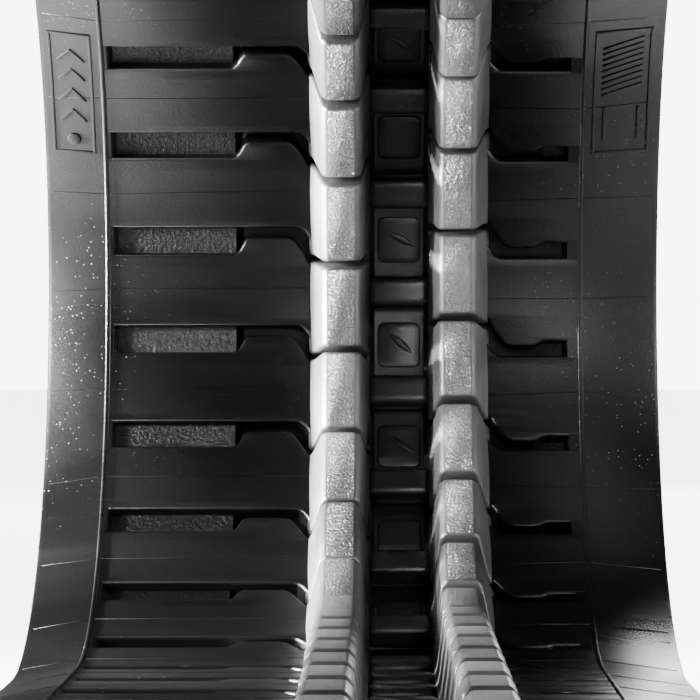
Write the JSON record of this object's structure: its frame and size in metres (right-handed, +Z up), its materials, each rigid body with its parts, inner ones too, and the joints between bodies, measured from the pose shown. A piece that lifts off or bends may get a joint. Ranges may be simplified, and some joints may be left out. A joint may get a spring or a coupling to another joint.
{
  "type": "rubber track",
  "caption": "Endless offset rubber track for a compact excavator, with two rows of guide lugs, sprocket pockets, core bars, steel cords and staggered ground lugs.",
  "frame": {"origin": "on the ground under the middle of the loop", "axes": "X across the belt with the guide lugs towards +X, Y along the ground run, Z up"},
  "size_m": [0.3, 1.9462, 0.4236],
  "materials": {
    "guide_rubber": "glossy",
    "tread_rubber": "satin",
    "core_steel": "forged",
    "cord_steel": "brassed",
    "ply_fabric": "woven"
  },
  "bodies": {
    "bottom_run": {"guide_rubber_bottom_run": "guide_rubber", "core_bars_bottom_run": "core_steel", "steel_cords_bottom_run": "cord_steel", "bias_ply_bottom_run": "ply_fabric", "tread_rubber_bottom_run": "tread_rubber"},
    "front_bend_1": {"guide_rubber_front_bend_1": "guide_rubber", "core_bars_front_bend_1": "core_steel", "steel_cords_front_bend_1": "cord_steel", "bias_ply_front_bend_1": "ply_fabric", "tread_rubber_front_bend_1": "tread_rubber"},
    "front_bend_2": {"guide_rubber_front_bend_2": "guide_rubber", "core_bars_front_bend_2": "core_steel", "steel_cords_front_bend_2": "cord_steel", "bias_ply_front_bend_2": "ply_fabric", "tread_rubber_front_bend_2": "tread_rubber"},
    "front_bend_3": {"guide_rubber_front_bend_3": "guide_rubber", "core_bars_front_bend_3": "core_steel", "steel_cords_front_bend_3": "cord_steel", "bias_ply_front_bend_3": "ply_fabric", "tread_rubber_front_bend_3": "tread_rubber"},
    "top_run_front": {"guide_rubber_top_run_front": "guide_rubber", "core_bars_top_run_front": "core_steel", "steel_cords_top_run_front": "cord_steel", "bias_ply_top_run_front": "ply_fabric", "tread_rubber_top_run_front": "tread_rubber"},
    "top_run_rear": {"guide_rubber_top_run_rear": "guide_rubber", "core_bars_top_run_rear": "core_steel", "steel_cords_top_run_rear": "cord_steel", "bias_ply_top_run_rear": "ply_fabric", "tread_rubber_top_run_rear": "tread_rubber"},
    "rear_bend_1": {"guide_rubber_rear_bend_1": "guide_rubber", "core_bars_rear_bend_1": "core_steel", "steel_cords_rear_bend_1": "cord_steel", "bias_ply_rear_bend_1": "ply_fabric", "tread_rubber_rear_bend_1": "tread_rubber"},
    "rear_bend_2": {"guide_rubber_rear_bend_2": "guide_rubber", "core_bars_rear_bend_2": "core_steel", "steel_cords_rear_bend_2": "cord_steel", "bias_ply_rear_bend_2": "ply_fabric", "tread_rubber_rear_bend_2": "tread_rubber"},
    "rear_bend_3": {"guide_rubber_rear_bend_3": "guide_rubber", "core_bars_rear_bend_3": "core_steel", "steel_cords_rear_bend_3": "cord_steel", "bias_ply_rear_bend_3": "ply_fabric", "tread_rubber_rear_bend_3": "tread_rubber"}
  },
  "joints": [
    {"name": "front_flex_1", "type": "hinge", "parent": "bottom_run", "child": "front_bend_1", "pos_m": [0, 0.76125, 0.028], "axis": [1, 0, 0], "range_deg": [-2, 5], "stiffness_Nm_per_rad": 8000, "springref_deg": 0.69},
    {"name": "front_flex_2", "type": "hinge", "parent": "front_bend_1", "child": "front_bend_2", "pos_m": [0, 0.92846, 0.13546], "axis": [1, 0, 0], "range_deg": [-5.6, 2.24]},
    {"name": "front_flex_3", "type": "hinge", "parent": "front_bend_2", "child": "front_bend_3", "pos_m": [0, 0.92846, 0.28819], "axis": [1, 0, 0], "range_deg": [-5.6, 2.24]},
    {"name": "front_flex_4", "type": "hinge", "parent": "front_bend_3", "child": "top_run_front", "pos_m": [0, 0.76125, 0.39565], "axis": [1, 0, 0], "range_deg": [-2.24, 5.6]},
    {"name": "rear_flex_1", "type": "hinge", "parent": "bottom_run", "child": "rear_bend_3", "pos_m": [0, -0.76125, 0.028], "axis": [1, 0, 0], "range_deg": [-5.6, 2.24]},
    {"name": "rear_flex_2", "type": "hinge", "parent": "rear_bend_3", "child": "rear_bend_2", "pos_m": [0, -0.92846, 0.13546], "axis": [1, 0, 0], "range_deg": [-2.24, 5.6]},
    {"name": "rear_flex_3", "type": "hinge", "parent": "rear_bend_2", "child": "rear_bend_1", "pos_m": [0, -0.92846, 0.28819], "axis": [1, 0, 0], "range_deg": [-2.24, 5.6]},
    {"name": "rear_flex_4", "type": "hinge", "parent": "rear_bend_1", "child": "top_run_rear", "pos_m": [0, -0.76125, 0.39565], "axis": [1, 0, 0], "range_deg": [-5.6, 2.24]}
  ],
  "couplings": [
    {"joint": "front_flex_2", "follows": "front_flex_1", "ratio": -1},
    {"joint": "front_flex_3", "follows": "front_flex_1", "ratio": -1},
    {"joint": "front_flex_4", "follows": "front_flex_1", "ratio": 1},
    {"joint": "rear_flex_1", "follows": "front_flex_1", "ratio": -1},
    {"joint": "rear_flex_2", "follows": "front_flex_1", "ratio": 1},
    {"joint": "rear_flex_3", "follows": "front_flex_1", "ratio": 1},
    {"joint": "rear_flex_4", "follows": "front_flex_1", "ratio": -1}
  ]
}
